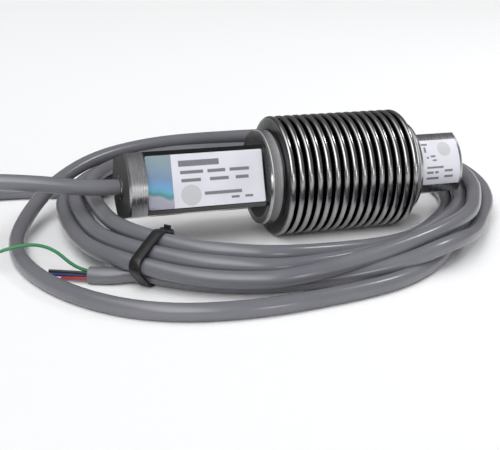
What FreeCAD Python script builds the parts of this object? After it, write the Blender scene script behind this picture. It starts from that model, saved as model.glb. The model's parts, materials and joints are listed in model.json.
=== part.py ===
import FreeCAD, Part
import math
import os

# A bellows-sealed bending-beam load cell with its cable wound into a tied coil around it.
# The cell is drawn level, with x = 0 at its cable end face: X runs along the beam to the load end,
# Z is the load direction and -Y is the label side. It is then rolled about its axis as it lies, and
# moved so that the origin is under its middle, on the surface that the bellows touches.

V = FreeCAD.Vector

# Driving dimensions of the measuring body, in millimetres
FIXED_LENGTH = 47.8
LOAD_LENGTH = 17.5
BLOCK_D = 29.0
LOAD_D = 27.0
LAND_D = 28.0
FLAT_THICKNESS = 21.0
END_CHAMFER = 0.7
BOLT_HOLE_D = 10.5
HOLE_CHAMFER = 0.5
FIXED_HOLE_SPACING = 25.0
FIXED_HOLE_FROM_END = 14.8
BEAM_WIDTH = 16.0
BEAM_HEIGHT = 20.0
WINDOW_D = 13.0
WINDOW_SPACING = 22.0
WINDOW_SLOT = 4.0

# The cell lies on its round bellows, rolled about its axis so that the label side faces upwards a little
CELL_ROLL = 19.0

# Bellows and the rings that it is welded to
BELLOWS_D = 42.0
CONVOLUTIONS = 15
PITCH = 3.25
CREST_WIDTH = 1.75
BELLOWS_WALL = 0.25
RING_WALL = 2.0
FIXED_RING_WIDTH = 4.0
LOAD_RING_WIDTH = 3.0
RING_LIP = 0.7
CUFF_NECK = 0.625

# Cable entry
CABLE_D = 5.4
GROMMET_WALL = 0.3
GLAND_DEPTH = 4.6
GLAND_WALL = 0.5
GLAND_STICKOUT = 0.7
GLAND_LIP = 0.4
GLAND_CHAMFER = 0.3
POTTING_DEPTH = 1.2
SEAT_CLEARANCE = 0.05
GLAND_BORE_D = CABLE_D + 2 * (GROMMET_WALL + GLAND_WALL + 2 * SEAT_CLEARANCE)
CHANNEL_D = 2.4
CHANNEL_OFFSET = 9.3
LEADS_D = 1.8

# Measuring circuit
GAUGE_LENGTH = 8.0
GAUGE_WIDTH = 6.0
GAUGE_THICKNESS = 0.15
BOARD_LENGTH = 4.5
BOARD_HEIGHT = 13.0
BOARD_THICKNESS = 1.0
BOARD_GAP = 2.4
RESISTOR_LENGTH = 3.2
RESISTOR_WIDTH = 1.6
RESISTOR_HEIGHT = 0.9
JUMPER_WIDTH = 0.5

# Labels
LABEL_FLAT_DEPTH = 3.3
COLLAR_LENGTH = 6.1
LABEL_LENGTH = 40.3
LABEL_HEIGHT = 17.8
LABEL_THICKNESS = 0.15
LABEL_CORNER = 0.5
LABEL_GAP = 0.5
FOIL_LENGTH = 8.6
FOIL_HEIGHT = 17.8
FOIL_THICKNESS = 0.08
LOAD_LABEL_LENGTH = 15.2
LOAD_LABEL_ANGLE = 71.0
LOAD_LABEL_GAP = 0.8

# Where the cable's own coordinates start, along the cell from its cable end face
CABLE_ORIGIN = 2.3

# Coil: the loop that the middle of the tied bundle follows, and the bundle's section
COIL_LEFT = -13.0
COIL_RIGHT = 144.0
COIL_FRONT = -54.0
COIL_BACK = 77.0
COIL_CORNERS = {"front_right": 74.0, "back_right": 52.0, "back_left": 56.0, "front_left": 50.0}
CABLES_ACROSS = 3
COIL_CHAMFER = 3.5

# Cable tie, at an angle seen from the centre of the coil's front left corner
TIE_ANGLE = 221.0
TIE_WIDTH = 4.6
TIE_THICKNESS = 1.2
TIE_HEAD = V(6.4, 6.0, 4.6)
TIE_END = 5.0

# Bare wires at the free end, and their spacing in the cable's end face
WIRE_D = 1.1
WIRE_SPACING = 1.8

# Flat sides of a cable's or wire's section
CORD_SIDES = 8

# Sizes that follow from the driving dimensions
axis_height = BELLOWS_D / 2
block_r = BLOCK_D / 2
load_r = LOAD_D / 2
land_r = LAND_D / 2
ring_r = land_r + RING_WALL
crest_r = BELLOWS_D / 2
root_r = ring_r + BELLOWS_WALL
ring_1_start = FIXED_LENGTH
ring_1_end = ring_1_start + FIXED_RING_WIDTH
bellows_start = ring_1_end + CUFF_NECK
bellows_end = bellows_start + CONVOLUTIONS * PITCH
ring_2_start = bellows_end + CUFF_NECK
ring_2_end = ring_2_start + LOAD_RING_WIDTH
cell_length = ring_2_end + LOAD_LENGTH
beam_middle = (ring_1_end + ring_2_start) / 2
load_hole_x = ring_2_end + LOAD_LENGTH / 2
fixed_holes = [FIXED_HOLE_FROM_END, FIXED_HOLE_FROM_END + FIXED_HOLE_SPACING]
windows = [beam_middle - WINDOW_SPACING / 2, beam_middle + WINDOW_SPACING / 2]
label_y = LABEL_FLAT_DEPTH - block_r
label_start = FIXED_LENGTH - LABEL_GAP * 2 - LABEL_LENGTH
board_x = ring_1_end + BOARD_GAP
gland_r = GLAND_BORE_D / 2 - SEAT_CLEARANCE
gland_lip_r = GLAND_BORE_D / 2 + GLAND_LIP
cell_middle = (cell_length - GLAND_STICKOUT) / 2
coil_width = CABLES_ACROSS * CABLE_D
coil_height = CABLES_ACROSS * CABLE_D
lead_z = CABLE_D / 2
stacked_z = coil_height + CABLE_D / 2

# Cable routes, chosen by hand: x from the cable's own origin, z from the surface below
LEAD_ROUTE = [
    V(GLAND_DEPTH - CABLE_ORIGIN, 0, axis_height),
    V(-12, 0, axis_height),
    V(-32, 3, axis_height + 1),
    V(-54, 8.5, axis_height + 0.5),
    V(-73, 19, 17),
    V(-82, 37, 11),
    V(-75, 56, 6.5),
    V(-54, 68, 3.4),
    V(-28, 69, lead_z),
    V(-4, 62, lead_z),
]
OUTER_LOOP_ROUTE = [
    V(128, -22, lead_z),
    V(108, -44, lead_z),
    V(80, -60, lead_z),
    V(50, -70, lead_z),
    V(20, -72.5, lead_z),
    V(-7, -66, lead_z),
    V(-26, -47, lead_z),
    V(-37, -21, lead_z),
    V(-38, 5, lead_z),
    V(-31, 27, 6.5),
    V(-19, 47, 14),
    V(0, 64, stacked_z),
    V(26, 75.5, stacked_z + 0.3),
    V(52, 79, stacked_z),
]
TAIL_ROUTE = [
    V(-7.7, -38.2, lead_z),
    V(-13.2, -34.2, lead_z),
    V(-19, -31, lead_z),
]


def at_tail_end(across, up, ahead):
    """Point beyond the tail's end face: wire spacings across and up from its middle, and mm ahead."""
    forward = TAIL_ROUTE[-1] - TAIL_ROUTE[-2]
    forward.normalize()
    sideways = forward.cross(V(0, 0, 1))
    offset = (sideways * across + V(0, 0, up)) * WIRE_SPACING
    return TAIL_ROUTE[-1] + offset + forward * ahead


WIRE_ROUTES = {
    "green": [
        at_tail_end(0.5, 0.5, 0),
        at_tail_end(0.5, 0.5, 6),
        V(-33, -18.5, 6.8),
        V(-42, -13, 6.8),
        V(-50, -12, 4.5),
    ],
    "red": [at_tail_end(-0.5, -0.5, 0), at_tail_end(-0.5, -0.5, 4), V(-27, -27.2, 1.2)],
    "blue": [at_tail_end(0.5, -0.5, 0), at_tail_end(0.5, -0.5, 6.5), V(-32, -22, 1.2)],
    "black": [at_tail_end(-0.5, 0.5, 0), at_tail_end(-0.5, 0.5, 6), V(-30.5, -25.4, 3.3)],
}


def box(x0, x1, y0, y1, z0, z1):
    return Part.makeBox(x1 - x0, y1 - y0, z1 - z0, V(x0, y0, z0))


def turned(profile):
    """Solid of revolution about the cell's axis, from (x, radius) points."""
    points = [V(x, r, 0) for x, r in profile]
    face = Part.Face(Part.makePolygon(points + points[:1]))
    return face.revolve(V(0, 0, 0), V(1, 0, 0), 360)


def rod(start, end, diameter):
    return Part.makeCylinder(diameter / 2, (end - start).Length, start, end - start)


def square_wire(points, width):
    """Thin lead of square section along runs that follow the axes."""
    margin = V(width / 2, width / 2, width / 2)
    runs = []
    for start, end in zip(points, points[1:]):
        low = V(min(start.x, end.x), min(start.y, end.y), min(start.z, end.z)) - margin
        high = V(max(start.x, end.x), max(start.y, end.y), max(start.z, end.z)) + margin
        runs.append(box(low.x, high.x, low.y, high.y, low.z, high.z))
    return runs[0].fuse(runs[1:]).removeSplitter()


def jointed_wire(points, diameter):
    """Thin wire of straight runs with a ball at each bend."""
    solid = rod(points[0], points[1], diameter)
    for start, end in zip(points[1:], points[2:]):
        solid = solid.fuse([Part.makeSphere(diameter / 2, start), rod(start, end, diameter)])
    return solid.removeSplitter()


def cell_placed(shape):
    """From the cell's own axis to the shared frame, rolled as the cell lies."""
    rolled = shape.copy()
    rolled.rotate(V(0, 0, 0), V(1, 0, 0), -CELL_ROLL)
    return rolled.translated(V(-cell_middle, 0, axis_height))


def table_placed(shape):
    """From the cable's coordinates, with z = 0 on the surface, to the shared frame."""
    return shape.translated(V(CABLE_ORIGIN - cell_middle, 0, 0))


def measuring_body():
    """One piece: clamped block, land, slotted bending beam, land and load end."""
    core_r = math.hypot(BEAM_WIDTH, BEAM_HEIGHT) / 2
    body = turned([
        (0, 0),
        (0, block_r - END_CHAMFER),
        (END_CHAMFER, block_r),
        (ring_1_start, block_r),
        (ring_1_start, land_r),
        (ring_1_end, land_r),
        (ring_1_end, core_r),
        (ring_2_start, core_r),
        (ring_2_start, land_r),
        (ring_2_end, land_r),
        (ring_2_end, load_r),
        (cell_length - END_CHAMFER, load_r),
        (cell_length, load_r - END_CHAMFER),
        (cell_length, 0),
    ])
    half = FLAT_THICKNESS / 2
    cuts = []
    for x0, x1 in ((0, ring_1_start), (ring_2_end, cell_length)):
        cuts.append(box(x0, x1, -block_r, block_r, half, block_r))
        cuts.append(box(x0, x1, -block_r, block_r, -block_r, -half))
    cuts.append(box(COLLAR_LENGTH, ring_1_start, -block_r, label_y, -half, half))
    beam_blank = box(ring_1_end, ring_2_start, -core_r, core_r, -core_r, core_r)
    beam = box(ring_1_end, ring_2_start, -BEAM_WIDTH / 2, BEAM_WIDTH / 2, -BEAM_HEIGHT / 2, BEAM_HEIGHT / 2)
    cuts.append(beam_blank.cut(beam))
    for x in windows:
        cuts.append(rod(V(x, -core_r, 0), V(x, core_r, 0), WINDOW_D))
    cuts.append(box(windows[0], windows[1], -core_r, core_r, -WINDOW_SLOT / 2, WINDOW_SLOT / 2))
    for x in fixed_holes + [load_hole_x]:
        cuts.append(bolt_hole(x))
    cuts.append(rod(V(0, 0, 0), V(GLAND_DEPTH + POTTING_DEPTH, 0, 0), GLAND_BORE_D))
    cuts.append(jointed_wire(lead_channel(), CHANNEL_D))
    return body.cut(cuts)


def bolt_hole(x):
    """Through hole between the flats, deburred at both mouths."""
    half = FLAT_THICKNESS / 2
    radius = BOLT_HOLE_D / 2
    mouth_r = radius + HOLE_CHAMFER
    upper = Part.makeCone(radius, mouth_r, HOLE_CHAMFER, V(x, 0, half - HOLE_CHAMFER))
    lower = Part.makeCone(mouth_r, radius, HOLE_CHAMFER, V(x, 0, -half))
    return rod(V(x, 0, -half), V(x, 0, half), BOLT_HOLE_D).fuse([upper, lower])


def lead_channel():
    """Drilled way for the wires: from the cable entry past the bolt holes into the bellows."""
    start = V(GLAND_DEPTH + LEADS_D / 2, CHANNEL_D, 0)
    elbow = V(fixed_holes[0] - CHANNEL_D / 2, CHANNEL_OFFSET, 0)
    return [start, elbow, V(ring_1_end, CHANNEL_OFFSET, 0)]


def bellows():
    """Thin corrugated tube with a plain cuff over each end ring.

    The outside of each convolution is a flat crest between two upright walls, and the inside
    follows it one wall thickness behind.
    """
    half = CREST_WIDTH / 2
    inner_half = half - BELLOWS_WALL
    inner_crest_r = crest_r - BELLOWS_WALL
    outer = []
    inner = []
    for index in range(CONVOLUTIONS):
        crest = bellows_start + (index + 0.5) * PITCH
        outer += [(crest - half, root_r), (crest - half, crest_r), (crest + half, crest_r), (crest + half, root_r)]
        inner += [
            (crest - inner_half, ring_r),
            (crest - inner_half, inner_crest_r),
            (crest + inner_half, inner_crest_r),
            (crest + inner_half, ring_r),
        ]
    start = ring_1_start + RING_LIP
    end = ring_2_end - RING_LIP
    return turned([(start, ring_r), (start, root_r)] + outer + [(end, root_r), (end, ring_r)] + inner[::-1])


def end_ring(face_x, direction, width):
    """Ring welded on its land: a lip, and a seat that the bellows' cuff lies on."""
    def at(distance):
        return face_x + direction * distance
    return turned([
        (at(0), land_r),
        (at(0), root_r),
        (at(RING_LIP), root_r),
        (at(RING_LIP), ring_r),
        (at(width), ring_r),
        (at(width), land_r),
    ])


def gland_sleeve():
    """Steel sleeve pressed into the end face, with a lip outside."""
    inside_r = gland_r - GLAND_WALL
    return turned([
        (-GLAND_STICKOUT, inside_r),
        (-GLAND_STICKOUT, gland_lip_r - GLAND_CHAMFER),
        (-GLAND_STICKOUT + GLAND_CHAMFER, gland_lip_r),
        (0, gland_lip_r),
        (0, gland_r),
        (GLAND_DEPTH, gland_r),
        (GLAND_DEPTH, inside_r),
    ])


def gland_grommet():
    """Rubber bush between the sleeve and the cable."""
    return turned([
        (-GLAND_STICKOUT, CABLE_D / 2 + SEAT_CLEARANCE),
        (-GLAND_STICKOUT, gland_r - GLAND_WALL),
        (GLAND_DEPTH, gland_r - GLAND_WALL),
        (GLAND_DEPTH, CABLE_D / 2 + SEAT_CLEARANCE),
    ])


def potting_plug():
    """Sealing compound behind the sleeve, cast round the wires."""
    plug = rod(V(GLAND_DEPTH, 0, 0), V(GLAND_DEPTH + POTTING_DEPTH, 0, 0), GLAND_BORE_D)
    return plug.cut(signal_leads())


def signal_leads():
    """The cable's wires inside the body, from the potting to the terminal board."""
    start, elbow, mouth = lead_channel()
    return jointed_wire([start, elbow, V(board_x, CHANNEL_OFFSET, 0)], LEADS_D)


def strain_gauge(x, side):
    """Foil gauge bonded to the beam over a window; side is 1 on top and -1 below."""
    face = side * BEAM_HEIGHT / 2
    low, high = sorted((face, face + side * GAUGE_THICKNESS))
    return box(x - GAUGE_LENGTH / 2, x + GAUGE_LENGTH / 2, -GAUGE_WIDTH / 2, GAUGE_WIDTH / 2, low, high)


def terminal_board():
    """Solder board glued to the side of the beam's root."""
    side = BEAM_WIDTH / 2
    return box(board_x, board_x + BOARD_LENGTH, side, side + BOARD_THICKNESS, -BOARD_HEIGHT / 2, BOARD_HEIGHT / 2)


def trim_resistor(level):
    """Chip that trims the bridge, on the board's outer face."""
    x = board_x + BOARD_LENGTH / 2
    y = BEAM_WIDTH / 2 + BOARD_THICKNESS
    return box(
        x - RESISTOR_WIDTH / 2, x + RESISTOR_WIDTH / 2,
        y, y + RESISTOR_HEIGHT,
        level - RESISTOR_LENGTH / 2, level + RESISTOR_LENGTH / 2,
    )


def gauge_jumper(x, side, lane):
    """Lead from a gauge along the beam and round its edge to the board."""
    z = side * (BEAM_HEIGHT / 2 + JUMPER_WIDTH / 2)
    y = BEAM_WIDTH / 2 + JUMPER_WIDTH / 2
    end_x = board_x + lane * BOARD_LENGTH
    gauge_edge = GAUGE_WIDTH / 2 + JUMPER_WIDTH / 2
    lane_y = gauge_edge + lane * JUMPER_WIDTH * 4
    return square_wire([
        V(x, gauge_edge, z),
        V(x, lane_y, z),
        V(end_x, lane_y, z),
        V(end_x, y, z),
        V(end_x, y, side * (BOARD_HEIGHT / 2 + JUMPER_WIDTH / 2)),
    ], JUMPER_WIDTH)


def rounded_plate(x0, length, height, thickness, y, radius):
    """Thin plate on the label side, with rounded corners."""
    plate = box(x0, x0 + length, y - thickness, y, -height / 2, height / 2)
    corners = [edge for edge in plate.Edges if abs(edge.tangentAt(edge.FirstParameter).y) > 0.9]
    return plate.makeFillet(radius, corners)


def type_label():
    return rounded_plate(label_start, LABEL_LENGTH, LABEL_HEIGHT, LABEL_THICKNESS, label_y, LABEL_CORNER)


def hologram_foil():
    """Shiny strip over the label's cable end."""
    y = label_y - LABEL_THICKNESS
    return rounded_plate(label_start, FOIL_LENGTH, FOIL_HEIGHT, FOIL_THICKNESS, y, LABEL_CORNER)


def load_end_label():
    """Thin label wrapped round the front of the load end."""
    x0 = ring_2_end + LOAD_LABEL_GAP
    corners = [V(x, -r, 0) for x, r in (
        (x0, load_r),
        (x0, load_r + LABEL_THICKNESS),
        (x0 + LOAD_LABEL_LENGTH, load_r + LABEL_THICKNESS),
        (x0 + LOAD_LABEL_LENGTH, load_r),
    )]
    face = Part.Face(Part.makePolygon(corners + corners[:1]))
    face.rotate(V(0, 0, 0), V(1, 0, 0), -LOAD_LABEL_ANGLE / 2)
    return face.revolve(V(0, 0, 0), V(1, 0, 0), LOAD_LABEL_ANGLE)


def corner_bend(before, corner, after):
    """Where the bend at a route's corner starts, its middle, its end and its radius."""
    into = corner - before
    out = after - corner
    turn = into.getAngle(out)
    reach = 0.45 * min(into.Length, out.Length)
    radius = reach / math.tan(turn / 2)
    into.normalize()
    out.normalize()
    start = corner - into * reach
    end = corner + out * reach
    inward = out - into
    inward.normalize()
    middle = corner + inward * (radius / math.cos(turn / 2) - radius)
    return start, middle, end, radius


def cord_section(middle, direction, diameter):
    """Regular polygon across a cable, with a flat side below."""
    sideways = direction.cross(V(0, 0, 1))
    sideways.normalize()
    upwards = sideways.cross(direction)
    upwards.normalize()
    points = []
    for index in range(CORD_SIDES):
        angle = 2 * math.pi * (index + 0.5) / CORD_SIDES
        points.append(middle + (sideways * math.cos(angle) + upwards * math.sin(angle)) * (diameter / 2))
    return Part.makePolygon(points + points[:1])


def tube(name, route, diameter):
    """Cable along straight runs joined by tangent arcs, each as large as its runs allow."""
    edges = []
    radii = []
    last = route[0]
    for before, corner, after in zip(route, route[1:], route[2:]):
        start, middle, end, radius = corner_bend(before, corner, after)
        edges.append(Part.LineSegment(last, start).toShape())
        edges.append(Part.Arc(start, middle, end).toShape())
        radii.append(radius)
        last = end
    edges.append(Part.LineSegment(last, route[-1]).toShape())
    path = Part.Wire(edges)
    section = cord_section(route[0], route[1] - route[0], diameter)
    solid = path.makePipeShell([section], True, True)
    expected = Part.Face(section).Area * path.Length
    print(name, "length", round(path.Length, 1), "volume ratio", round(solid.Volume / expected, 4))
    print(name, "radii", [round(radius, 1) for radius in radii])
    return solid


def coil_loop(offset):
    """Face inside the coil's middle loop, grown by an offset."""
    left = COIL_LEFT - offset
    right = COIL_RIGHT + offset
    front = COIL_FRONT - offset
    back = COIL_BACK + offset
    places = [
        ("front_right", right, front, 1, -1),
        ("back_right", right, back, 1, 1),
        ("back_left", left, back, -1, 1),
        ("front_left", left, front, -1, -1),
    ]
    edges = []
    last = None
    first = None
    for name, x, y, sx, sy in places:
        radius = COIL_CORNERS[name] + offset
        centre = V(x - sx * radius, y - sy * radius, 0)
        tips = [centre + V(0, sy * radius, 0), centre + V(sx * radius, 0, 0)]
        if sx * sy > 0:
            tips.reverse()
        middle = centre + V(sx, sy, 0) * (radius / math.sqrt(2))
        if last is not None:
            edges.append(Part.LineSegment(last, tips[0]).toShape())
        else:
            first = tips[0]
        edges.append(Part.Arc(tips[0], middle, tips[1]).toShape())
        last = tips[1]
    edges.append(Part.LineSegment(last, first).toShape())
    return Part.Face(Part.Wire(edges))


def coil_ring():
    """Outer shape of the tied turns: a ring with bevelled edges."""
    ring_face = coil_loop(coil_width / 2).cut(coil_loop(-coil_width / 2))
    ring = ring_face.extrude(V(0, 0, coil_height))
    rims = [edge for edge in ring.Edges if abs(edge.tangentAt(edge.FirstParameter).z) < 0.1]
    return ring.Solids[0].makeChamfer(COIL_CHAMFER, rims)


def bevelled_section(half_width, bottom, top, bevel):
    """Octagon across the bundle: x is outwards from the coil, z is up."""
    points = [
        V(half_width - bevel, 0, bottom),
        V(half_width, 0, bottom + bevel),
        V(half_width, 0, top - bevel),
        V(half_width - bevel, 0, top),
        V(-half_width + bevel, 0, top),
        V(-half_width, 0, top - bevel),
        V(-half_width, 0, bottom + bevel),
        V(-half_width + bevel, 0, bottom),
    ]
    return Part.Face(Part.makePolygon(points + points[:1]))


def cable_tie():
    """Nylon strap round the bundle, its head and the cut end, moulded as one piece."""
    half = coil_width / 2
    inside = bevelled_section(half, TIE_THICKNESS, coil_height, COIL_CHAMFER)
    outside = bevelled_section(half + TIE_THICKNESS, 0, coil_height + TIE_THICKNESS, COIL_CHAMFER)
    strap = outside.cut(inside).extrude(V(0, TIE_WIDTH, 0)).translated(V(0, -TIE_WIDTH / 2, 0))
    top = coil_height + TIE_THICKNESS
    head_x = COIL_CHAMFER - half
    head = Part.makeBox(TIE_HEAD.x, TIE_HEAD.y, TIE_HEAD.z)
    head = head.makeChamfer(0.8, head.Edges).translated(V(head_x, -TIE_HEAD.y / 2, top - TIE_THICKNESS / 2))
    cut_end = box(head_x - TIE_END, head_x + 1, -TIE_WIDTH / 2, TIE_WIDTH / 2, top + 1, top + 1 + TIE_THICKNESS)
    tie = strap.fuse([head, cut_end]).removeSplitter()
    radius = COIL_CORNERS["front_left"]
    centre = V(COIL_LEFT + radius, COIL_FRONT + radius, 0)
    tie.rotate(V(0, 0, 0), V(0, 0, 1), TIE_ANGLE)
    outward = V(math.cos(math.radians(TIE_ANGLE)), math.sin(math.radians(TIE_ANGLE)), 0)
    return tie.translated(centre + outward * radius)


def cell_pieces():
    pieces = {
        "measuring_body": measuring_body(),
        "bellows": bellows(),
        "end_ring_fixed": end_ring(ring_1_start, 1, FIXED_RING_WIDTH),
        "end_ring_load": end_ring(ring_2_end, -1, LOAD_RING_WIDTH),
        "gland_sleeve": gland_sleeve(),
        "gland_grommet": gland_grommet(),
        "potting_plug": potting_plug(),
        "signal_leads": signal_leads(),
        "terminal_board": terminal_board(),
        "trim_resistor_upper": trim_resistor(BOARD_HEIGHT / 4),
        "trim_resistor_lower": trim_resistor(-BOARD_HEIGHT / 4),
        "type_label": type_label(),
        "hologram_foil": hologram_foil(),
        "load_end_label": load_end_label(),
    }
    for end, x, lane in (("fixed", windows[0], 0.25), ("load", windows[1], 0.75)):
        for name, side in (("top", 1), ("bottom", -1)):
            pieces["strain_gauge_" + name + "_" + end] = strain_gauge(x, side)
            pieces["gauge_jumper_" + name + "_" + end] = gauge_jumper(x, side, lane)
    return {name: cell_placed(shape) for name, shape in pieces.items()}


def cable_pieces():
    pieces = {
        "cable_lead": tube("cable_lead", LEAD_ROUTE, CABLE_D),
        "cable_outer_loop": tube("cable_outer_loop", OUTER_LOOP_ROUTE, CABLE_D),
        "cable_tail": tube("cable_tail", TAIL_ROUTE, CABLE_D),
        "cable_tie": cable_tie(),
    }
    pieces["cable_coil"] = coil_ring().cut(list(pieces.values()))
    for colour, route in WIRE_ROUTES.items():
        pieces["core_wire_" + colour] = tube("core_wire_" + colour, route, WIRE_D)
    return {name: table_placed(shape) for name, shape in pieces.items()}


os.makedirs("parts", exist_ok=True)
for name, shape in {**cell_pieces(), **cable_pieces()}.items():
    print(name, "solids", len(shape.Solids), "valid", shape.isValid(), "volume", round(shape.Volume, 1))
    shape.exportStep("parts/" + name + ".step")
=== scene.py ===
import json
import math

import bmesh
import bpy
from mathutils import Matrix, Vector
from mathutils.geometry import convex_hull_2d


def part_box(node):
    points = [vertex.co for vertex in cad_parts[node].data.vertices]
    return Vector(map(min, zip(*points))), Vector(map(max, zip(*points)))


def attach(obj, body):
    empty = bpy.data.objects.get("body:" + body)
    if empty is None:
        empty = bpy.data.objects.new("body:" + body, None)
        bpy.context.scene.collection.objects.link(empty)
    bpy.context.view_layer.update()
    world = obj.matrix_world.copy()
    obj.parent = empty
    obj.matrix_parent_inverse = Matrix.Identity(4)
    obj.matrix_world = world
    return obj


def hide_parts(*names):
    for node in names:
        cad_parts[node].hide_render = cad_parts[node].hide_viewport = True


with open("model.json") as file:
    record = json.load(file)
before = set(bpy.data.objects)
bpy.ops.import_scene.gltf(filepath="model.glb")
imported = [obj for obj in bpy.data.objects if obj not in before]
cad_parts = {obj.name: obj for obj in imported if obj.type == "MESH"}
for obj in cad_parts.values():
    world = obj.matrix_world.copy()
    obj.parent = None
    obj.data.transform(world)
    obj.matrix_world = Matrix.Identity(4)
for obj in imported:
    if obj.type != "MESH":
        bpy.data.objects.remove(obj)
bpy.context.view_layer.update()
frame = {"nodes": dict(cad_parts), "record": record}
nodes = frame["nodes"]

MM = 0.001
MM_PER_METRE = 1000

# The cell: its axis height and end in metres, its roll, and places in mm along it from the cable end face
AXIS_Z = 0.021
CELL_END_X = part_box("measuring_body")[0][0]
CELL_ROLL = math.radians(19.0)
GLAND_START = -0.7
GLAND_DEPTH = 4.6
COLLAR_END = 6.1
LABEL_START = 6.5
RING_START = 47.8
CUFF_START = 48.5
BELLOWS_START = 52.425
CUFF_END = 104.1
LOAD_LABEL_START = 105.6

# Bellows in mm: convolutions with round crests and roots, and a weld bead on each cuff
CONVOLUTIONS = 15
PITCH = 3.25
CREST_WIDTH = 2.1
CREST_RISE = 0.75
ROOT_RISE = 0.6
CREST_R = 21.0
ROOT_R = 16.25
BELLOWS_WALL = 0.25
BEAD_R = 0.3
CREST_STEPS = 10
ROOT_STEPS = 4
BEAD_STEPS = 6
AROUND = 128

# Camera: the photograph's angle, in degrees, metres and millimetres of lens
CAMERA_AZIMUTH = 18.98
CAMERA_ELEVATION = 17.81
CAMERA_ROLL = 0.8
CAMERA_DISTANCE = 0.35436
CAMERA_TARGET = Vector((-0.01488, 0, 0.00363))
CAMERA_LENS = 72.0
CAMERA_SENSOR = 36.0

# Overhead strip light: side shift, half width and soft edge of its direction, as parts of 1
LIGHT_SIDE = -0.32
LIGHT_HALF_WIDTH = 0.29
LIGHT_SIDE_EDGE = 0.1

# The strip's rise in degrees from the front: its two ends with their soft edges, and where it fades
LIGHT_FROM = 20.0
LIGHT_FROM_EDGE = 6
LIGHT_TO = 115.0
LIGHT_TO_EDGE = 10
LIGHT_FADE_FROM = 55
LIGHT_FADE_TO = 100
LIGHT_FADE = 0.4
LIGHT_LEVEL = 4.6
ROOM_LEVEL = 0.2
ROOM_COLOUR = (0.985, 0.99, 1, 1)

# Softboxes and floor, in metres
LAMP_SIZE = 0.16
LAMP_DISTANCE = 0.9
FLOOR_SIZE = 8.0

# Cable: routes in mm, x from its own origin and z from the surface, as in the part's source
CABLE_ORIGIN = 2.3
CABLE_ORIGIN_X = CELL_END_X + CABLE_ORIGIN * MM
CABLE_D = 5.4
WIRE_D = 1.1
WIRE_OFFSET = 0.9
CORD_STEPS = 6
CORD_ROUNDNESS = 5
FLOOR_Z = CABLE_D / 2
LEAD_ROUTE = [
    (GLAND_DEPTH - CABLE_ORIGIN, 0, 21),
    (-12, 0, 21.2),
    (-32, 3, 24.1),
    (-54, 8.5, 24.7),
    (-73, 19, 19.2),
    (-82, 37, 11),
    (-75, 56, 6.5),
    (-54, 68, 3.4),
    (-28, 69, FLOOR_Z),
    (-4, 62, FLOOR_Z),
    (20, 79, FLOOR_Z),
]
OUTER_LOOP_ROUTE = [
    (121.3, -17.3, FLOOR_Z),
    (107.2, -31.2, FLOOR_Z),
    (92.4, -49, FLOOR_Z),
    (72, -62.8, FLOOR_Z),
    (50, -68.3, FLOOR_Z),
    (20, -72, FLOOR_Z),
    (-7, -66.5, FLOOR_Z),
    (-26, -48, FLOOR_Z),
    (-37, -21, FLOOR_Z),
    (-38, 5, FLOOR_Z),
    (-31, 27, 5.5),
    (-19, 47, 11),
    (0, 64, 15.9),
    (26, 75.5, 17.4),
    (52, 79.5, 17.2),
]
TAIL_ROUTE = [(-13.2, -34.2, FLOOR_Z), (-19, -31, FLOOR_Z)]

# The coil's middle line: corner centre, radius and first angle, clockwise from the back
COIL_CORNERS = [
    ((92, 25), 52, 90),
    ((70, 20), 74, 0),
    ((37, -4), 50, -90),
    ((43, 21), 56, 180),
]
CORNER_STEPS = 5
TIE_CORNER = 2
TIE_CORNER_SPOT = 11

# How each strand lies: spot on the turn, then mm outward of the middle line and mm up
HIDDEN_TURN = {
    0: (4, 2.7), 3: (0.5, 2.7), 5: (-6, 2.7), 6: (-11.5, 2.7), 7: (-16, 2.7),
    8: (-16.5, 2.7), 9: (-9, 2.7), 10: (-2, 2.7), 11: (-3.1, 2.8), 12: (-3.4, 6.2),
    13: (-3.2, 6.7), 14: (-2.9, 7.2), 16: (-1.6, 5.4), 22: (-1, 6.9),
}
INNER_TURN = {
    0: (-1.6, 5.6), 3: (-4.3, 5.2), 5: (-11.5, 2.7), 6: (-17.1, 2.7), 7: (-21.6, 2.7),
    8: (-22.2, 2.7), 9: (-18.2, 4.4), 10: (-10.9, 7), 11: (-2.2, 10.8), 12: (-3.4, 11.8),
    13: (-3.6, 12.2), 14: (-3.8, 13.3), 16: (-3.9, 13.2), 22: (-3.9, 13.9),
}
MIDDLE_TURN = {
    0: (-4.5, 12.6), 3: (-5.9, 10.7), 5: (-9, 8), 6: (-13, 8.1), 7: (-14.6, 8.1),
    8: (-15, 8.1), 9: (-10.6, 8), 10: (-5, 7.2), 11: (2.8, 8.2), 12: (1.7, 9.4),
    13: (1.4, 9.95), 14: (1.4, 10.7), 16: (1.4, 10), 22: (1.6, 11.7),
}
FRONT_TURN = {
    0: (0.6, 11.4), 3: (-0.9, 12.1), 5: (-4, 11.5), 6: (-8, 12), 7: (-9, 12.7),
    8: (-4.8, 13.1), 9: (-2.6, 12), 10: (1.4, 9.8), 11: (8, 6.8), 12: (6.2, 6.25),
    13: (6, 6.9), 14: (6.6, 8.3), 16: (5.8, 7.2), 22: (6, 8),
}
TO_OUTER_LOOP = {0: (6, 7.8), 1: (6, 7.5), 2: (6, 6), 3: (5.6, 4.5), 5: (0.5, 2.8), 6: (-5.5, 2.7)}
LAST_TURN = {
    0: (3, 16.7), 3: (6.5, 11), 5: (2, 8.3), 6: (-2, 6.9), 7: (-5.7, 5.2), 8: (-2.5, 6.2),
    9: (3.6, 10), 10: (4.4, 5.3), 11: (2.2, 2.7), 12: (1.2, 2.75), 13: (1.8, 3.5), 14: (2.6, 3.7),
}

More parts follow.
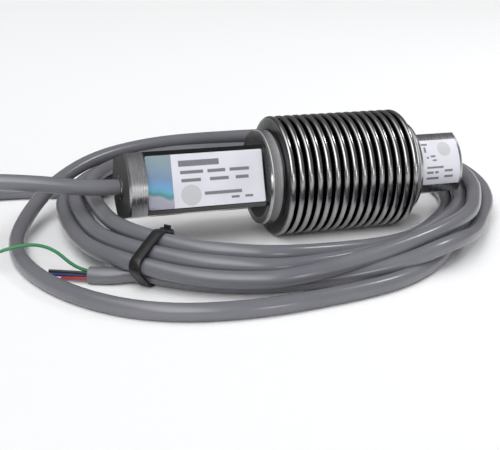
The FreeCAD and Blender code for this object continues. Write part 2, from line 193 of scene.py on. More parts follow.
# Cable tie, in mm and degrees: strap with ribs and eased edges, head and cut end
TIE_SPOT = 13.7
TIE_WIDTH = 3.9
TIE_THICKNESS = 0.8
TIE_LIFT = 0.02
TIE_RIB = 0.7
TIE_RIB_DEPTH = 0.12
TIE_EDGE_DROP = 0.2
TIE_EDGE_WIDTH = 0.3
TIE_RING_STEPS = 48
TIE_HEAD = (3.6, 2.2, 5.0)
TIE_HEAD_LEAN = 165.0
TIE_HEAD_SEAT = 0.3
TIE_HEAD_ROUNDING = 0.5
TIE_END = 1.1
TIE_END_WIDTH = 2.4
TIE_END_SEAT = 1.6
TIE_END_RISE = 0.45
TIE_END_RUN = 0.9
TIE_END_ROUNDING = 0.2

# Finishes in mm and parts of 1: where noise is taken from, the grey of the painted shade on faces towards
# the cable, and the fade at the edge of a face or cuff
NOISE_LOW = 0.3
NOISE_HIGH = 0.7
TOOL_LINES = (9.0, 0.12, 0.12)
PAINTED_FACE_SHADE = 0.05
FACE_FROM = 0.03
FACE_EDGE = 0.1
FIXED_CUFF_END = 51.8
LOAD_CUFF_START = 102.2
CUFF_FADE = 0.5
GREY_COOLNESS = 1.015

# Moulded finishes by slot: two colours, roughness from and to, relief in mm, grain in cycles per mm
MOULDED = {
    "gland_rubber": ((0.02, 0.02, 0.022), (0.035, 0.035, 0.037), 0.5, 0.65, 0.02, 2.5),
    "potting": ((0.07, 0.055, 0.045), (0.11, 0.09, 0.07), 0.25, 0.45, 0.02, 1.0),
    "lead_insulation": ((0.55, 0.55, 0.53), (0.62, 0.62, 0.6), 0.4, 0.5, 0.01, 2.5),
    "circuit_board": ((0.03, 0.2, 0.09), (0.05, 0.27, 0.12), 0.25, 0.4, 0.02, 4.0),
    "chip_ceramic": ((0.03, 0.03, 0.03), (0.06, 0.06, 0.06), 0.35, 0.5, 0.01, 6.0),
    "gauge_film": ((0.5, 0.25, 0.05), (0.62, 0.36, 0.1), 0.2, 0.35, 0.005, 3.0),
    "tie_nylon": ((0.005, 0.005, 0.006), (0.01, 0.01, 0.011), 0.3, 0.45, 0.01, 3.0),
    "wire_green": ((0.02, 0.17, 0.06), (0.035, 0.23, 0.08), 0.3, 0.4, 0.01, 4.0),
    "wire_red": ((0.3, 0.03, 0.03), (0.38, 0.05, 0.045), 0.3, 0.4, 0.01, 4.0),
    "wire_blue": ((0.03, 0.04, 0.2), (0.045, 0.06, 0.27), 0.3, 0.4, 0.01, 4.0),
    "wire_black": ((0.012, 0.012, 0.014), (0.02, 0.02, 0.022), 0.3, 0.4, 0.01, 4.0),
}

# Plain printed form on the labels: bars as (left, right, bottom, top), and a disc's centre and radius, in mm
LABEL_BARS = [
    (11, 25, 4.7, 6.7),
    (11.4, 19.3, 2.2, 3.3),
    (20.8, 27, 2.2, 3.3),
    (28.5, 35.4, 2.2, 3.3),
    (11.6, 18.3, -0.5, 0.6),
    (21.4, 28, -0.5, 0.6),
    (30.4, 35, -0.5, 0.6),
    (19.2, 32.2, -5.2, -4.1),
    (28.4, 31.2, -6.9, -6.1),
    (33.2, 36, -6.9, -6.1),
]
LABEL_DISC = (14.6, -4.9)
LABEL_DISC_R = 3.5
LOAD_LABEL_BARS = [
    (1, 3.4, 6, 6.7),
    (1.6, 2.4, 3.4, 5.4),
    (2.2, 3, 1.2, 1.9),
    (3.8, 5.6, 1.6, 2.3),
    (4.4, 6, 0.2, 0.8),
    (2, 8.6, -2.4, -1.7),
    (2, 4.6, -4.2, -3.4),
    (5.2, 6.6, -4.2, -3.4),
    (9, 12.2, -3.8, -3),
    (2, 6.8, -6.2, -5.4),
    (9, 12.4, -5.8, -5),
]
LOAD_LABEL_DISC = (9.6, 4.4)
LOAD_LABEL_DISC_R = 2.6


def aim(azimuth, elevation):
    """Direction of view for a camera or lamp at that azimuth and elevation, in degrees."""
    turn = math.radians(azimuth)
    tilt = math.radians(elevation)
    return Vector((math.sin(turn) * math.cos(tilt), math.cos(turn) * math.cos(tilt), -math.sin(tilt)))


def looking(place, forward, roll=0.0):
    """World matrix of a camera or lamp at a place, rolled by some degrees."""
    right = forward.cross(Vector((0, 0, 1))).normalized()
    up = right.cross(forward)
    lean = math.radians(roll)
    rolled_right = right * math.cos(lean) + up * math.sin(lean)
    rolled_up = up * math.cos(lean) - right * math.sin(lean)
    turn = Matrix((rolled_right, rolled_up, -forward)).transposed()
    return Matrix.Translation(place) @ turn.to_4x4()


def link(name, data):
    item = bpy.data.objects.new(name, data)
    bpy.context.scene.collection.objects.link(item)
    return item


def add_camera():
    data = bpy.data.cameras.new("camera")
    data.lens = CAMERA_LENS
    data.sensor_width = CAMERA_SENSOR
    camera = link("camera", data)
    forward = aim(CAMERA_AZIMUTH, CAMERA_ELEVATION)
    camera.matrix_world = looking(CAMERA_TARGET - forward * CAMERA_DISTANCE, forward, CAMERA_ROLL)
    bpy.context.scene.camera = camera


def in_frame(point):
    """A route point in mm as a place in the shared frame."""
    return Vector((point[0] * MM + CABLE_ORIGIN_X, point[1] * MM, point[2] * MM))


def turn_angles():
    """Corner and angle of each spot on a turn, clockwise from the back."""
    spots = []
    for number, (centre, radius, first) in enumerate(COIL_CORNERS):
        steps = CORNER_STEPS if number == 0 else CORNER_STEPS + 1
        spots += [(centre, radius, first - 90 * step / CORNER_STEPS) for step in range(steps)]
    return spots


SPOTS = turn_angles()


def between(lay, spot):
    """Outward and upward offset of a strand at a spot, straight between the spots it names."""
    after = min((key for key in lay if key >= spot), default=max(lay))
    before = max((key for key in lay if key <= spot), default=min(lay))
    share = 0 if after == before else (spot - before) / (after - before)
    return [first + (second - first) * share for first, second in zip(lay[before], lay[after])]


def strand(lay):
    """Route points of one turn, from the first to the last spot it names."""
    points = []
    for spot in range(min(lay), max(lay) + 1):
        out, up = between(lay, spot)
        (x, y), radius, angle = SPOTS[spot]
        turn = math.radians(angle)
        points.append((x + (radius + out) * math.cos(turn), y + (radius + out) * math.sin(turn), up))
    return points


def add_cord(name, route, diameter):
    """Smooth round cord along a route: one NURBS spline with the route's points as its control points."""
    curve = bpy.data.curves.new(name, "CURVE")
    curve.dimensions = "3D"
    spline = curve.splines.new("NURBS")
    spline.points.add(len(route) - 1)
    for control, point in zip(spline.points, route):
        control.co = (*in_frame(point), 1)
        control.radius = diameter / 2 * MM
    spline.order_u = 3
    spline.use_endpoint_u = True
    spline.resolution_u = CORD_STEPS
    curve.bevel_depth = 1.0
    curve.bevel_resolution = CORD_ROUNDNESS
    curve.use_fill_caps = True
    return link(name, curve)


def tail_end(across, up, ahead):
    """Route point beyond the cable's end face: mm across and up from its middle, and mm ahead."""
    end = Vector(TAIL_ROUTE[-1])
    forward = (end - Vector(TAIL_ROUTE[-2])).normalized()
    sideways = forward.cross(Vector((0, 0, 1)))
    return tuple(end + sideways * across + Vector((0, 0, up)) + forward * ahead)


def wire_route(side, level, straight, free):
    """Route of a wire: out of its quarter of the cable's end face, some mm straight on, then free points."""
    across = side * WIRE_OFFSET
    up = level * WIRE_OFFSET
    return [tail_end(across, up, -1), tail_end(across, up, straight)] + free


def bellows_outline(wall):
    """Outline of the round crests and roots as (x, radius) in mm, some wall in from the outside."""
    crest_half = CREST_WIDTH / 2 - wall
    root_half = PITCH / 2 - crest_half
    crest_base = CREST_R - CREST_RISE
    root_top = ROOT_R + ROOT_RISE
    root_depth = ROOT_RISE + wall
    points = []
    for index in range(CONVOLUTIONS):
        start = BELLOWS_START + index * PITCH
        for step in range(0 if index == 0 else 1, ROOT_STEPS + 1):
            turn = math.radians(90 / ROOT_STEPS * step)
            points.append((start + root_half * math.sin(turn), root_top - root_depth * math.cos(turn)))
        for step in range(CREST_STEPS + 1):
            turn = math.radians(180 - 180 / CREST_STEPS * step)
            reach = crest_base + (CREST_RISE - wall) * math.sin(turn)
            points.append((start + PITCH / 2 + crest_half * math.cos(turn), reach))
        for step in range(ROOT_STEPS + 1):
            turn = math.radians(90 - 90 / ROOT_STEPS * step)
            reach = root_top - root_depth * math.cos(turn)
            points.append((start + PITCH - root_half * math.sin(turn), reach))
    return points


def bead(x):
    """Outline of a weld bead on a cuff, as (x, radius) in mm."""
    turns = [math.radians(180 - 180 / BEAD_STEPS * step) for step in range(BEAD_STEPS + 1)]
    return [(x + BEAD_R * math.cos(turn), ROOT_R + BEAD_R * math.sin(turn)) for turn in turns]


def add_mesh(name, shape):
    """Smooth-shaded object from a bmesh."""
    bmesh.ops.recalc_face_normals(shape, faces=shape.faces)
    for face in shape.faces:
        face.smooth = True
    mesh = bpy.data.meshes.new(name)
    shape.to_mesh(mesh)
    shape.free()
    return link(name, mesh)


def join_rings(shape, rings):
    """Faces from each closed ring of points to the next, and from the last to the first."""
    for ring, following in zip(rings, rings[1:] + rings[:1]):
        for number in range(len(ring)):
            after = (number + 1) % len(ring)
            shape.faces.new((ring[number], ring[after], following[after], following[number]))


def add_turned(name, outline):
    """Closed shape turned about the cell's axis from a closed outline."""
    shape = bmesh.new()
    rings = []
    for x, radius in outline:
        ring = []
        for step in range(AROUND):
            turn = 2 * math.pi * step / AROUND
            side = radius * MM * math.cos(turn)
            rise = radius * MM * math.sin(turn)
            ring.append(shape.verts.new((CELL_END_X + x * MM, side, AXIS_Z + rise)))
        rings.append(ring)
    join_rings(shape, rings)
    return add_mesh(name, shape)


def tie_loop():
    """Closed line of the tie's inside round the strands, as (outward, up) in mm, one point each half rib."""
    ring = []
    for lay in (HIDDEN_TURN, INNER_TURN, MIDDLE_TURN, FRONT_TURN, LAST_TURN):
        out, up = between(lay, TIE_SPOT)
        for step in range(TIE_RING_STEPS):
            turn = math.radians(360 / TIE_RING_STEPS * step)
            ring.append(Vector((out + CABLE_D / 2 * math.cos(turn), up + CABLE_D / 2 * math.sin(turn))))
    hull = [ring[index] for index in convex_hull_2d(ring)]
    corners = hull + hull[:1]
    runs = [(second - first).length for first, second in zip(corners, corners[1:])]
    count = 2 * round(sum(runs) / TIE_RIB)
    points = []
    for step in range(count):
        left = sum(runs) * step / count
        number = 0
        while left > runs[number]:
            left -= runs[number]
            number += 1
        points.append(corners[number].lerp(corners[number + 1], left / runs[number]))
    return points


def tie_axes():
    """Places on the bundle at the tie: middle line, outward and along it, in the shared frame."""
    (x, y), radius, first = COIL_CORNERS[TIE_CORNER]
    turn = math.radians(first - 90 * (TIE_SPOT - TIE_CORNER_SPOT) / CORNER_STEPS)
    outward = Vector((math.cos(turn), math.sin(turn), 0))
    middle = in_frame((x + radius * outward.x, y + radius * outward.y, 0))
    return middle, outward, Vector((outward.y, -outward.x, 0))


def strap_section(thick):
    """Section of the tie's strap, as mm away from the strands and mm along the bundle."""
    edge = TIE_WIDTH / 2
    shoulder = thick - TIE_EDGE_DROP
    inner = edge - TIE_EDGE_WIDTH
    return [
        (TIE_LIFT, -edge),
        (shoulder, -edge),
        (thick, -inner),
        (thick, inner),
        (shoulder, edge),
        (TIE_LIFT, edge),
    ]


def add_block(shape, place, size, bevel):
    """Block with rounded edges in a bmesh: place takes mm along it, up from its seat and across it."""
    block = bmesh.new()
    bmesh.ops.create_cube(block, size=1.0)
    for vert in block.verts:
        vert.co = Vector((vert.co.x * size[0], (vert.co.y + 0.5) * size[1], vert.co.z * size[2]))
    bmesh.ops.bevel(block, geom=block.edges[:], offset=bevel, segments=3, profile=0.5, affect="EDGES")
    for vert in block.verts:
        vert.co = place(*vert.co)
    mesh = bpy.data.meshes.new("block")
    block.to_mesh(mesh)
    block.free()
    shape.from_mesh(mesh)
    bpy.data.meshes.remove(mesh)


def add_tie():
    """Nylon tie: a ribbed strap drawn tight round the strands, a moulded head on top and its cut end."""
    middle, outward, along = tie_axes()

    def place(out, up, ahead):
        return middle + (outward * out + Vector((0, 0, up)) + along * ahead) * MM

    shape = bmesh.new()
    loop = tie_loop()
    heart = sum(loop, Vector((0, 0))) / len(loop)
    sections = []
    for number, point in enumerate(loop):
        run = loop[(number + 1) % len(loop)] - loop[number - 1]
        away = Vector((run.y, -run.x)).normalized()
        if away.dot(point - heart) < 0:
            away.negate()
        corners = strap_section(TIE_THICKNESS - TIE_RIB_DEPTH * (number % 2))
        sections.append([shape.verts.new(place(*(point + away * lift), ahead)) for lift, ahead in corners])
    join_rings(shape, sections)

    out, up = between(INNER_TURN, TIE_SPOT)
    lean = math.radians(TIE_HEAD_LEAN)
    away = Vector((math.cos(lean), math.sin(lean)))
    past = Vector((-away.y, away.x))
    seat = Vector((out, up)) + away * (CABLE_D / 2 + TIE_HEAD_SEAT)

    def on_head(run, rise, ahead):
        return place(*(seat + past * run + away * rise), ahead)

    add_block(shape, on_head, TIE_HEAD, TIE_HEAD_ROUNDING)
    end_seat = seat - past * TIE_HEAD[0] / 2 + away * TIE_END_SEAT
    end_way = (away * TIE_END_RISE - past * TIE_END_RUN).normalized()
    end_side = Vector((-end_way.y, end_way.x))

    def on_end(run, rise, ahead):
        return place(*(end_seat + end_way * (run + TIE_END / 2) + end_side * rise), ahead)

    add_block(shape, on_end, (TIE_END, TIE_THICKNESS, TIE_END_WIDTH), TIE_END_ROUNDING)
    return add_mesh("cable_tie_strap", shape)


def add_floor():
    bpy.ops.mesh.primitive_plane_add(size=FLOOR_SIZE, location=(0, 0, 0))
    floor = bpy.context.object
    floor.name = "floor"
    return floor


class Nodes:
    """Short ways to add nodes to a tree, with an input given as a constant or another node's output."""

    def __init__(self, tree):
        self.tree = tree

    def set(self, socket, value):
        if isinstance(value, bpy.types.NodeSocket):
            self.tree.links.new(value, socket)
        else:
            socket.default_value = value

    def node(self, kind, inputs, **settings):
        made = self.tree.nodes.new(kind)
        for key, value in settings.items():
            setattr(made, key, value)
        for key, value in inputs.items():
            self.set(made.inputs[key], value)
        return made

    def parts(self, place):
        return self.node("ShaderNodeSeparateXYZ", {"Vector": place}).outputs

    def math(self, operation, first, second=0.0):
        return self.node("ShaderNodeMath", {0: first, 1: second}, operation=operation).outputs[0]

    def length(self, first, second):
        """Length of a flat offset."""
        squares = [self.math("MULTIPLY", part, part) for part in (first, second)]
        return self.math("SQRT", self.math("ADD", *squares))

    def spread(self, value, start, end, low, high):
        """Value from start to end taken to low to high, and no further."""
        inputs = {"Value": value, "From Min": start, "From Max": end, "To Min": low, "To Max": high}
        return self.node("ShaderNodeMapRange", inputs).outputs["Result"]


class Paint(Nodes):
    """A material in the making."""

    def __init__(self, name, **constants):
        self.material = bpy.data.materials.new(name)
        self.material.use_nodes = True
        super().__init__(self.material.node_tree)
        self.shader = self.tree.nodes["Principled BSDF"]
        for socket, value in constants.items():
            self.set(self.shader.inputs[socket.replace("_", " ")], value)

    def mapped(self, **settings):
        spot = self.node("ShaderNodeTexCoord", {}).outputs["Object"]
        inputs = {"Vector": spot, "Scale": (MM_PER_METRE,) * 3, **settings}
        return self.node("ShaderNodeMapping", inputs).outputs["Vector"]

    def place(self):
        """Place in the shared frame, in mm."""
        return self.mapped()

    def cell_place(self):
        """Place on the unrolled cell in mm: along it from the cable end face, back and up from its axis."""
        height = AXIS_Z * MM_PER_METRE
        along = -CELL_END_X * MM_PER_METRE
        shift = (along, height * math.sin(CELL_ROLL), -height * math.cos(CELL_ROLL))
        return self.mapped(Location=shift, Rotation=(CELL_ROLL, 0, 0))

    def noise(self, place, scale, detail=3.0, rough=0.5):
        """Noise with one scale, or its own scale along each axis, in cycles per mm."""
        scales = scale if isinstance(scale, tuple) else (scale,) * 3
        stretched = self.node("ShaderNodeVectorMath", {0: place, 1: scales}, operation="MULTIPLY").outputs[0]
        inputs = {"Vector": stretched, "Scale": 1.0, "Detail": detail, "Roughness": rough}
        return self.node("ShaderNodeTexNoise", inputs).outputs["Fac"]

    def even(self, noise, low=0, high=1):
        """Noise stretched over the range from low to high."""
        return self.spread(noise, NOISE_LOW, NOISE_HIGH, low, high)

    def blend(self, share, first, second):
        return self.node("ShaderNodeMix", {0: share, 6: first, 7: second}, data_type="RGBA").outputs[2]

    def ramp(self, value, stops):
        made = self.node("ShaderNodeValToRGB", {"Fac": value})
        elements = made.color_ramp.elements
        while len(elements) < len(stops):
            elements.new(1.0)
        for element, (position, colour) in zip(elements, stops):
            element.position = position
            element.color = (*colour, 1)
        return made.outputs["Color"]

    def bump(self, height, depth):
        """Surface relief: height from 0 to 1, depth in mm."""
        made = self.node("ShaderNodeBump", {"Height": height, "Strength": 1.0, "Distance": depth * MM})
        self.set(self.shader.inputs["Normal"], made.outputs["Normal"])

    def colour(self, value):
        self.set(self.shader.inputs["Base Color"], value)

    def metallic(self, value):
        self.set(self.shader.inputs["Metallic"], value)

    def roughness(self, value):
        self.set(self.shader.inputs["Roughness"], value)


def grey(level):
    return (level, level, level * GREY_COOLNESS, 1)


def turned_steel(name, dark, pale, low, high, depth, face):
    """Turned stainless steel: fine tool lines, faint tarnish, and painted shade that darkens its face
    towards the cable.
    """
    paint = Paint(name, Metallic=1.0)
    place = paint.cell_place()
    lines = paint.noise(place, TOOL_LINES, detail=4)
    cloud = paint.noise(place, 0.12, detail=2)
    tone = paint.blend(paint.even(cloud), grey(dark), grey(pale))
    # Painted shade: the face towards the cable is darkened to near black, standing in for a dark reflection.
    painted_shade_face = paint.spread(paint.parts(place)["X"], face + FACE_FROM, face + FACE_EDGE, 1, 0)
    paint.colour(paint.blend(painted_shade_face, tone, grey(PAINTED_FACE_SHADE)))
    paint.roughness(paint.even(lines, low, high))
    paint.bump(lines, depth)
    return paint.material


def body_steel():
    """Stainless bar: brushed collar, mirror-smooth flats tinted near black as a painted dark reflection,
    turned load end, and faces towards the cable made rougher, less metallic and darkened with painted shade.
    """
    paint = Paint("body_steel")
    place = paint.cell_place()
    along = paint.parts(place)["X"]
    turned = paint.noise(place, TOOL_LINES, detail=4)
    milled = paint.noise(place, (0.05, 5.0, 5.0), detail=3)
    cloud = paint.noise(place, (0.1, 0.16, 0.16), detail=3)
    past_collar = paint.spread(along, COLLAR_END - FACE_EDGE, COLLAR_END + FACE_EDGE, 0, 1)
    before_ring = paint.spread(along, RING_START - FACE_EDGE, RING_START, 1, 0)
    polished_and_painted_dark = paint.math("MULTIPLY", past_collar, before_ring)

    brushed_rough = paint.even(turned, 0.19, 0.33)
    polished_rough = paint.even(milled, 0.07, 0.16)
    change = paint.math("SUBTRACT", polished_rough, brushed_rough)
    smooth = paint.math("ADD", brushed_rough, paint.math("MULTIPLY", change, polished_and_painted_dark))
    shoulder = paint.math("ABSOLUTE", paint.math("SUBTRACT", along, RING_START))
    # Painted shade: the end face and the shoulder at the ring are darkened to near black, and are also made
    # rougher and less metallic.
    painted_shade_face = paint.spread(paint.math("MINIMUM", along, shoulder), FACE_FROM, FACE_EDGE, 1, 0)
    paint.metallic(paint.spread(painted_shade_face, 0, 1, 1, 0.2))
    paint.roughness(paint.math("MAXIMUM", smooth, paint.spread(painted_shade_face, 0, 1, 0, 0.7)))

    # Painted dark reflection: the steel between collar and ring is tinted near black, for the dark room its
    # mirror finish would show.
    tint = paint.blend(polished_and_painted_dark, grey(0.46), grey(0.08))
    tint = paint.blend(paint.spread(cloud, 0.35, 0.75, 0, 0.25), tint, grey(0.16))
    paint.colour(paint.blend(painted_shade_face, tint, grey(PAINTED_FACE_SHADE)))
    turned_relief = paint.math("MULTIPLY", turned, paint.spread(polished_and_painted_dark, 0, 1, 1, 0.05))
    milled_relief = paint.math("MULTIPLY", milled, paint.spread(polished_and_painted_dark, 0, 1, 0, 0.12))
    paint.bump(paint.math("ADD", turned_relief, milled_relief), 0.012)
    return paint.material


def bellows_steel():
    """Formed sheet: plain steel grey on the crests and cuffs, with painted shade darkening the flanks and
    folds towards the roots.
    """
    paint = Paint("bellows_steel")
    place = paint.cell_place()
    parts = paint.parts(place)
    lines = paint.noise(place, (7.0, 0.1, 0.1), detail=3)
    cloud = paint.noise(place, (0.05, 0.2, 0.2), detail=3)
    height = paint.spread(paint.length(parts["Y"], parts["Z"]), ROOT_R + BEAD_R, CREST_R, 0, 1)
    # Painted shade: the tone falls from steel grey on the crests to near black in the roots, for the shade
    # in the folds.
    tone = paint.ramp(height, [
        (0, (0.03, 0.03, 0.03)),
        (0.72, (0.035, 0.035, 0.035)),
        (0.86, (0.12, 0.12, 0.12)),
        (0.95, (0.27, 0.27, 0.272)),
        (0.985, (0.36, 0.36, 0.365)),
    ])
    fixed_cuff = paint.spread(parts["X"], FIXED_CUFF_END, FIXED_CUFF_END + CUFF_FADE, 1, 0)
    load_cuff = paint.spread(parts["X"], LOAD_CUFF_START - CUFF_FADE, LOAD_CUFF_START, 0, 1)
    cuff = paint.math("MAXIMUM", fixed_cuff, load_cuff)
    # The cuffs keep a plain steel grey, without the painted fold shade.
    tone = paint.blend(cuff, tone, grey(0.5))
    paint.metallic(paint.spread(cuff, 0, 1, 1, 0.45))
    paint.colour(paint.blend(paint.spread(cloud, 0.4, 0.8, 0, 0.2), tone, grey(0.1)))
    smooth = paint.spread(paint.math("MAXIMUM", height, cuff), 0, 1, 0.4, 0.22)
    paint.roughness(paint.math("ADD", smooth, paint.even(lines, -0.04, 0.06)))
    paint.bump(lines, 0.006)
    return paint.material


def bars_gap(paint, along, up, bars):
    """How far a place is from the nearest of some bars: negative inside."""
    nearest = None
    for left, right, bottom, top in bars:
        off_x = paint.math("ABSOLUTE", paint.math("SUBTRACT", along, (left + right) / 2))
        off_z = paint.math("ABSOLUTE", paint.math("SUBTRACT", up, (bottom + top) / 2))
        gap_x = paint.math("SUBTRACT", off_x, (right - left) / 2)
        gap_z = paint.math("SUBTRACT", off_z, (top - bottom) / 2)
        gap = paint.math("MAXIMUM", gap_x, gap_z)
        nearest = gap if nearest is None else paint.math("MINIMUM", nearest, gap)
    return nearest


def disc_gap(paint, along, up, centre, radius):
    """How far a place is from a disc: negative inside."""
    off_x = paint.math("SUBTRACT", along, centre[0])
    off_z = paint.math("SUBTRACT", up, centre[1])
    return paint.math("SUBTRACT", paint.length(off_x, off_z), radius)


def label_film(name, along_start, bars, disc_centre, disc_radius):
    """Pale satin film with a plain printed form: bars and a disc."""
    paint = Paint(name, Specular_IOR_Level=0.5)
    place = paint.cell_place()
    parts = paint.parts(place)
    along = paint.math("SUBTRACT", parts["X"], along_start)
    grain = paint.noise(place, 3.0, detail=3)
    cloud = paint.noise(place, 0.09, detail=2)
    film = paint.blend(paint.even(cloud), (0.62, 0.62, 0.68, 1), (0.7, 0.7, 0.75, 1))
    disc = disc_gap(paint, along, parts["Z"], disc_centre, disc_radius)
    film = paint.blend(paint.spread(disc, -0.06, 0.06, 1, 0), film, (0.52, 0.52, 0.54, 1))
    marks = bars_gap(paint, along, parts["Z"], bars)
    worn = paint.even(grain, 0.8, 0.95)
    ink = paint.math("MULTIPLY", paint.spread(marks, -0.07, 0.07, 1, 0), worn)
    paint.colour(paint.blend(ink, film, (0.1, 0.1, 0.115, 1)))
    paint.roughness(paint.even(grain, 0.3, 0.42))
    paint.bump(grain, 0.006)
    return paint.material


def foil():
    """Blue foil: its shimmer painted as colour bands across its height, made wavy by noise, with a little
    uneven roughness.
    """
    paint = Paint("hologram_foil", Metallic=0.4)
    place = paint.cell_place()
    parts = paint.parts(place)
    wander = paint.noise(place, 0.16, detail=1)
    # Painted sheen: colour bands by height and along the foil, darkest at its bottom edge, stand in for the
    # foil's angle-dependent shimmer.
    height = paint.math("ADD", parts["Z"], paint.even(wander, -1.1, 1.1))
    height = paint.math("ADD", height, paint.math("MULTIPLY", parts["X"], 0.12))
    share = paint.spread(height, -8.1, 9.7, 0, 1)
    paint.colour(paint.ramp(share, [
        (0.0, (0.16, 0.15, 0.21)),
        (0.1, (0.34, 0.33, 0.4)),
        (0.24, (0.36, 0.36, 0.41)),
        (0.29, (0.08, 0.24, 0.28)),
        (0.35, (0.13, 0.38, 0.46)),
        (0.43, (0.16, 0.35, 0.6)),
        (0.6, (0.2, 0.29, 0.42)),
        (1.0, (0.27, 0.35, 0.37)),
    ]))
    paint.roughness(paint.even(wander, 0.3, 0.42))
    return paint.material


def moulded(name, colour, other, low, high, depth, grain):
    """Plastic or rubber with a fine grain, and a slow change between two colours."""
    paint = Paint(name)
    place = paint.place()
    fine = paint.noise(place, grain, detail=4)
    slow = paint.noise(place, 0.07, detail=3)
    paint.colour(paint.blend(paint.even(slow), (*colour, 1), (*other, 1)))
    paint.roughness(paint.even(fine, low, high))
    paint.bump(fine, depth)
    return paint.material


def jacket():
    """Grey cable jacket: smooth extruded plastic, faint rub marks and dust."""
    paint = Paint("cable_jacket", Specular_IOR_Level=0.5)
    place = paint.place()
    fine = paint.noise(place, 0.7, detail=2)
    slow = paint.noise(place, 0.04, detail=2)
    rubs = paint.noise(place, (0.35, 0.35, 1.2), detail=5, rough=0.65)
    tone = paint.blend(paint.even(slow), (0.142, 0.143, 0.162, 1), (0.168, 0.168, 0.186, 1))
    paint.colour(paint.blend(paint.spread(rubs, 0.6, 0.78, 0, 0.12), tone, (0.24, 0.24, 0.26, 1)))
    rubbed = paint.spread(rubs, 0.55, 0.8, 0, 0.06)
    paint.roughness(paint.math("ADD", paint.even(fine, 0.2, 0.24), rubbed))
    paint.bump(slow, 0.01)
    return paint.material


def copper():
    """Copper wire: drawn lines and spots of darker enamel."""
    paint = Paint("jumper_copper", Metallic=1.0)
    place = paint.place()
    spots = paint.noise(place, 1.5, detail=4)
    enamel = paint.spread(spots, 0.4, 0.7, 0, 1)
    paint.colour(paint.blend(enamel, (0.72, 0.4, 0.24, 1), (0.42, 0.19, 0.1, 1)))
    paint.roughness(paint.even(spots, 0.25, 0.45))
    paint.bump(spots, 0.01)
    return paint.material


def floor_paint():
    """Plain pale studio floor, with a hardly visible tooth."""
    paint = Paint("floor", Specular_IOR_Level=0.1)
    tooth = paint.noise(paint.place(), 0.5, detail=2)
    paint.colour(paint.blend(tooth, (0.93, 0.93, 0.93, 1), (0.95, 0.95, 0.95, 1)))
    paint.roughness(paint.even(tooth, 0.85, 0.95))
    return paint.material


def dress(item, material):
    """Give every material slot of an object this material."""
    if not item.material_slots:
        item.data.materials.append(material)
    for holder in item.material_slots:
        holder.material = material


def add_lamp(name, energy, azimuth, elevation):
    """Square softbox that shines at the cell from an azimuth and elevation."""
    data = bpy.data.lights.new(name, "AREA")
    data.energy = energy
    data.size = LAMP_SIZE
    lamp = link(name, data)
    forward = aim(azimuth, elevation)
    lamp.matrix_world = looking(Vector((0, 0, AXIS_Z)) - forward * LAMP_DISTANCE, forward)


def add_studio():
    """Dim room with one long soft light overhead, which runs from high in the front to just past the top."""
    world = bpy.data.worlds.new("studio")
    world.use_nodes = True
    sky = Nodes(world.node_tree)
    way = sky.parts(sky.node("ShaderNodeTexCoord", {}).outputs["Generated"])
    across = sky.math("ABSOLUTE", sky.math("SUBTRACT", way["X"], LIGHT_SIDE))
    rise = sky.math("DEGREES", sky.math("ARCTAN2", way["Z"], sky.math("MULTIPLY", way["Y"], -1.0)))
    narrow = LIGHT_HALF_WIDTH - LIGHT_SIDE_EDGE
    wide = LIGHT_HALF_WIDTH + LIGHT_SIDE_EDGE
    strip = sky.spread(across, narrow, wide, 1, 0)
    for part in (
        sky.spread(rise, LIGHT_FROM - LIGHT_FROM_EDGE, LIGHT_FROM + LIGHT_FROM_EDGE, 0, 1),
        sky.spread(rise, LIGHT_TO - LIGHT_TO_EDGE, LIGHT_TO + LIGHT_TO_EDGE, 1, 0),
        sky.spread(rise, LIGHT_FADE_FROM, LIGHT_FADE_TO, 1, LIGHT_FADE),
    ):
        strip = sky.math("MULTIPLY", strip, part)
    background = world.node_tree.nodes["Background"]
    background.inputs["Color"].default_value = ROOM_COLOUR
    sky.set(background.inputs["Strength"], sky.spread(strip, 0, 1, ROOM_LEVEL, LIGHT_LEVEL))
    bpy.context.scene.world = world


add_camera()

route = LEAD_ROUTE + strand(HIDDEN_TURN) + strand(INNER_TURN) + strand(MIDDLE_TURN) + strand(FRONT_TURN)
route += strand(TO_OUTER_LOOP) + OUTER_LOOP_ROUTE + strand(LAST_TURN) + TAIL_ROUTE
cable = add_cord("cable", route, CABLE_D)
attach(cable, "root")
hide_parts("cable_lead", "cable_coil", "cable_outer_loop", "cable_tail")
dress(cable, jacket())

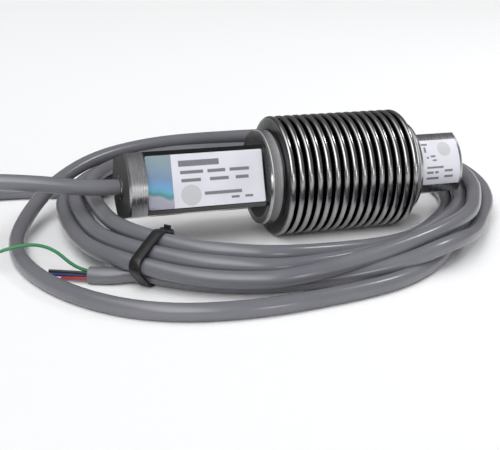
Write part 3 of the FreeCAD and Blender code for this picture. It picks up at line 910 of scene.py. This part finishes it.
paints = {slot: moulded(slot, *finish) for slot, finish in MOULDED.items()}
wire_routes = {
    "green": wire_route(1, 1, 4, [(-29, -18, 9.2), (-39.5, -11.8, 8.2), (-50, -12, 4.5)]),
    "red": wire_route(-1, -1, 4, [(-27, -27.2, 1.2)]),
    "blue": wire_route(1, -1, 6.5, [(-32, -22, 1.2)]),
    "black": wire_route(-1, 1, 6, [(-30.5, -25.4, 3.3)]),
}
for colour, points in wire_routes.items():
    wire = add_cord("wire_" + colour, points, WIRE_D)
    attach(wire, "root")
    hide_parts("core_wire_" + colour)
    dress(wire, paints["wire_" + colour])

tie = add_tie()
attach(tie, "root")
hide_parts("cable_tie")
dress(tie, paints["tie_nylon"])

outside = bead(CUFF_START + BEAD_R) + bellows_outline(0) + bead(CUFF_END - BEAD_R)
inside_r = ROOT_R - BELLOWS_WALL
inside = [(CUFF_START, inside_r)] + bellows_outline(BELLOWS_WALL) + [(CUFF_END, inside_r)]
folds = add_turned("bellows_folds", outside + inside[::-1])
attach(folds, "root")
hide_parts("bellows")
dress(folds, bellows_steel())

paints.update({
    "body_steel": body_steel(),
    "ring_steel": turned_steel("ring_steel", 0.4, 0.5, 0.2, 0.3, 0.01, RING_START),
    "gland_steel": turned_steel("gland_steel", 0.3, 0.4, 0.16, 0.26, 0.008, GLAND_START),
    "hologram_foil": foil(),
    "jumper_copper": copper(),
})
label_paints = {
    "type_label": label_film("type_label", LABEL_START, LABEL_BARS, LABEL_DISC, LABEL_DISC_R),
    "load_end_label": label_film(
        "load_label", LOAD_LABEL_START, LOAD_LABEL_BARS, LOAD_LABEL_DISC, LOAD_LABEL_DISC_R
    ),
}
slots = {piece["node"]: piece["material_slot"] for piece in frame["record"]["subparts"]}
for node, item in nodes.items():
    if node in label_paints:
        dress(item, label_paints[node])
    elif slots[node] in paints:
        dress(item, paints[slots[node]])

floor = add_floor()
dress(floor, floor_paint())

add_studio()
add_lamp("front", energy=0.8, azimuth=-19, elevation=9)
add_lamp("right", energy=1.4, azimuth=-90, elevation=47)
bpy.context.scene.view_settings.view_transform = "Standard"
